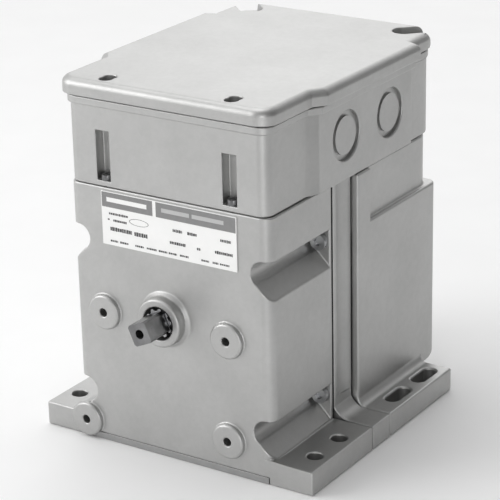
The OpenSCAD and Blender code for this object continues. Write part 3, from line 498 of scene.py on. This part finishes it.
# ---- label print ----
labelLow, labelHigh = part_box("nameplate")
printSettings = {
    "thick": 0.05 * mm,
    "bite": 0.02 * mm,        # how far the print reaches into the film
    "bandShare": 0.29,        # height of the grey bands, of the whole label
    "divider": (0.388, 0.413),  # white gap between the bands, along the label
    "rows": [                 # left, right, place down the white part, letter height mm
        (0.056, 0.20, 0.16, 1.1), (0.045, 0.06, 0.32, 0.8), (0.087, 0.19, 0.33, 1.1),
        (0.062, 0.226, 0.56, 1.9), (0.245, 0.345, 0.57, 1.9),
        (0.535, 0.605, 0.26, 1.4), (0.643, 0.714, 0.26, 1.4),
        (0.511, 0.628, 0.59, 1.4), (0.711, 0.737, 0.61, 1.2),
        (0.883, 0.959, 0.26, 1.4), (0.842, 0.97, 0.59, 1.4),
        (0.06, 0.117, 0.88, 0.9), (0.132, 0.196, 0.88, 0.9), (0.248, 0.312, 0.88, 0.9),
        (0.335, 0.41, 0.88, 0.9), (0.425, 0.489, 0.88, 0.9), (0.5, 0.56, 0.88, 0.9),
        (0.583, 0.647, 0.88, 0.9), (0.741, 0.797, 0.88, 0.9), (0.823, 0.865, 0.88, 0.9),
        (0.876, 0.944, 0.88, 0.9)],
    "blockMm": (0.5, 1.0), "gapMm": 0.22,
    "oval": {"along": 0.282, "down": 0.26, "halfWideMm": 5.0, "halfTallMm": 1.55, "lineMm": 0.25,
             "topLine": 0.6, "steps": 36},
}


def printedBoxes(name, boxes, material, lift):
    # flat inked patches on the label's front face
    mesh = bpy.data.meshes.new(name)
    work = bmesh.new()
    front = labelLow.y
    for left, right, low, high in boxes:
        corners = [(left, low), (right, low), (right, high), (left, high)]
        near = [work.verts.new((x, front - lift, z)) for x, z in corners]
        far = [work.verts.new((x, front + printSettings["bite"], z)) for x, z in corners]
        work.faces.new(near)
        work.faces.new(far[::-1])
        for i in range(4):
            j = (i + 1) % 4
            work.faces.new((near[j], near[i], far[i], far[j]))
    bmesh.ops.recalc_face_normals(work, faces=work.faces)
    work.to_mesh(mesh)
    work.free()
    addPiece(name, mesh, material, "casing")


def makeLabelPrint(s):
    dice = random.Random(7)
    wide = labelHigh.x - labelLow.x
    tall = labelHigh.z - labelLow.z
    bandLow = labelHigh.z - s["bandShare"] * tall
    margin = 0.35 * mm
    across = lambda share: labelLow.x + share * wide
    left = (labelLow.x + margin, across(s["divider"][0]), bandLow, labelHigh.z - margin)
    right = (across(s["divider"][1]), labelHigh.x - margin, bandLow, labelHigh.z - margin)
    printedBoxes("labelBands", [left, right], inkGrey, s["thick"])
    middle = (bandLow + labelHigh.z) / 2
    printedBoxes("labelTitleBar", [(across(0.042), across(0.345), middle - 1.0 * mm, middle + 1.0 * mm)],
                 film, 2 * s["thick"])
    printedBoxes("labelSubtitleBar", [(across(0.455), across(0.66), middle - 0.9 * mm, middle + 0.9 * mm),
                                      (across(0.68), across(0.91), middle - 0.9 * mm, middle + 0.9 * mm)],
                 inkLight, 2 * s["thick"])
    blocks = []
    for start, end, down, height in s["rows"]:
        x = across(start)
        z = bandLow - down * (bandLow - labelLow.z)
        while x < across(end):
            step = dice.uniform(*s["blockMm"]) * mm
            half = height * dice.uniform(0.38, 0.5) * mm
            blocks.append((x, min(x + step, across(end)), z - half, z + half))
            x += step + s["gapMm"] * mm
    printedBoxes("labelMarks", blocks, inkDark, s["thick"])
    makeOval(s["oval"], across(s["oval"]["along"]), bandLow - s["oval"]["down"] * (bandLow - labelLow.z))


def makeOval(oval, x, z):
    # plain outline with a thinner line at its top and bottom
    thick = printSettings["thick"]
    ring = []
    for i in range(oval["steps"]):
        a, b = (2 * math.pi * (i + k) / oval["steps"] for k in (0, 1))
        ring.append([(x + (oval["halfWideMm"] - inset) * mm * math.cos(t),
                      z + (oval["halfTallMm"] - inset * oval["topLine"]) * mm * math.sin(t))
                     for inset, t in ((oval["lineMm"], a), (0, a), (0, b), (oval["lineMm"], b))])
    mesh = bpy.data.meshes.new("labelOval")
    work = bmesh.new()
    for corners in ring:
        work.faces.new([work.verts.new((px, labelLow.y - thick, pz)) for px, pz in corners])
    bmesh.ops.remove_doubles(work, verts=work.verts, dist=0.001 * mm)
    solid = bmesh.ops.extrude_face_region(work, geom=list(work.faces))
    for v in [g for g in solid["geom"] if isinstance(g, bmesh.types.BMVert)]:
        v.co.y += thick + printSettings["bite"]
    bmesh.ops.recalc_face_normals(work, faces=work.faces)
    work.to_mesh(mesh)
    work.free()
    addPiece("labelOval", mesh, inkDark, "casing")


makeLabelPrint(printSettings)
print("label printed")


# ---- studio ----
floorSettings = {"side": 6.0, "drop": 0.0002}
mesh = bpy.data.meshes.new("studioFloor")
half = floorSettings["side"] / 2
floorCorners = ((-half, -half), (half, -half), (half, half), (-half, half))
mesh.from_pydata([(x, y, -floorSettings["drop"]) for x, y in floorCorners], [], [(0, 1, 2, 3)])
floor = bpy.data.objects.new("studioFloor", mesh)
scene.collection.objects.link(floor)
paper, tree, place = startMaterial("matteBackdropPaper")
fibre = addNode(tree, "TexNoise", {"Scale": perMetre(40), "Detail": 2.0}, {"Vector": place})
paleTone = addNode(tree, "Mix", {"data_type": "RGBA", 6: hexToLinear("#f4f4f4"), 7: hexToLinear("#f8f8f8")},
                   {0: fibre.outputs["Fac"]})
endMaterial(tree, {"Roughness": 0.9}, {"Base Color": paleTone.outputs[2]})
mesh.materials.append(paper)

world = bpy.data.worlds.new("studioWorld")
scene.world = world
world.use_nodes = True
skySettings = {"left": 0.95, "right": 0.12}   # brightness of the room on either side
tree = world.node_tree
background = tree.nodes["Background"]
background.inputs["Color"].default_value = grey(1.0)
sky = addNode(tree, "SeparateXYZ", links={0: addNode(tree, "TexCoord").outputs["Generated"]})
side = addNode(tree, "MapRange",
               {"From Min": -1.0, "To Min": skySettings["left"], "To Max": skySettings["right"]},
               {"Value": sky.outputs["X"]})
tree.links.new(side.outputs["Result"], background.inputs["Strength"])

lightSettings = [  # name, place, aim, width, height, watts
    ("topSoftbox", (-0.25, 0.15, 1.35), (0, 0, 0.1), 1.1, 1.1, 6),
    ("backSoftbox", (-0.5, 1.6, 0.85), (0, 0, 0.15), 1.6, 0.9, 5),
    ("leftKey", (-1.15, -0.95, 0.75), (0, 0, 0.08), 0.8, 0.9, 9),
    ("cornerStrip", (0.72, -1.02, 0.26), (0, 0, 0.08), 0.14, 0.5, 2.5),
]
for name, place, aim, width, height, watts in lightSettings:
    lamp = bpy.data.lights.new(name, "AREA")
    lamp.shape = "RECTANGLE"
    lamp.size, lamp.size_y = width, height
    lamp.energy = watts
    light = bpy.data.objects.new(name, lamp)
    light.location = place
    light.rotation_euler = (Vector(aim) - Vector(place)).to_track_quat("-Z", "Y").to_euler()
    scene.collection.objects.link(light)
scene.view_settings.view_transform = "Standard"

# ---- camera ----
cameraSettings = {"azimuth": 33.395, "elevation": 21.026, "roll": -1.3015, "lens": 151.33, "sensor": 36,
                  "distance": 0.94865, "target": (-0.004772, 0.008, 0.073277)}


def makeCamera(s):
    azimuth, elevation, roll = (math.radians(s[k]) for k in ("azimuth", "elevation", "roll"))
    back = Vector((math.sin(azimuth) * math.cos(elevation), -math.cos(azimuth) * math.cos(elevation),
                   math.sin(elevation)))
    right = Vector((math.cos(azimuth), math.sin(azimuth), 0))
    up = back.cross(right)
    sideways = right * math.cos(roll) + up * math.sin(roll)
    upwards = -right * math.sin(roll) + up * math.cos(roll)
    data = bpy.data.cameras.new("productCamera")
    data.sensor_width = s["sensor"]
    data.lens = s["lens"]
    data.clip_start, data.clip_end = 0.02, 20
    camera = bpy.data.objects.new("productCamera", data)
    turn = Matrix((sideways, upwards, back)).transposed().to_4x4()
    camera.matrix_world = Matrix.Translation(Vector(s["target"]) + back * s["distance"]) @ turn
    scene.collection.objects.link(camera)
    scene.camera = camera


makeCamera(cameraSettings)
print("studio and camera ready")
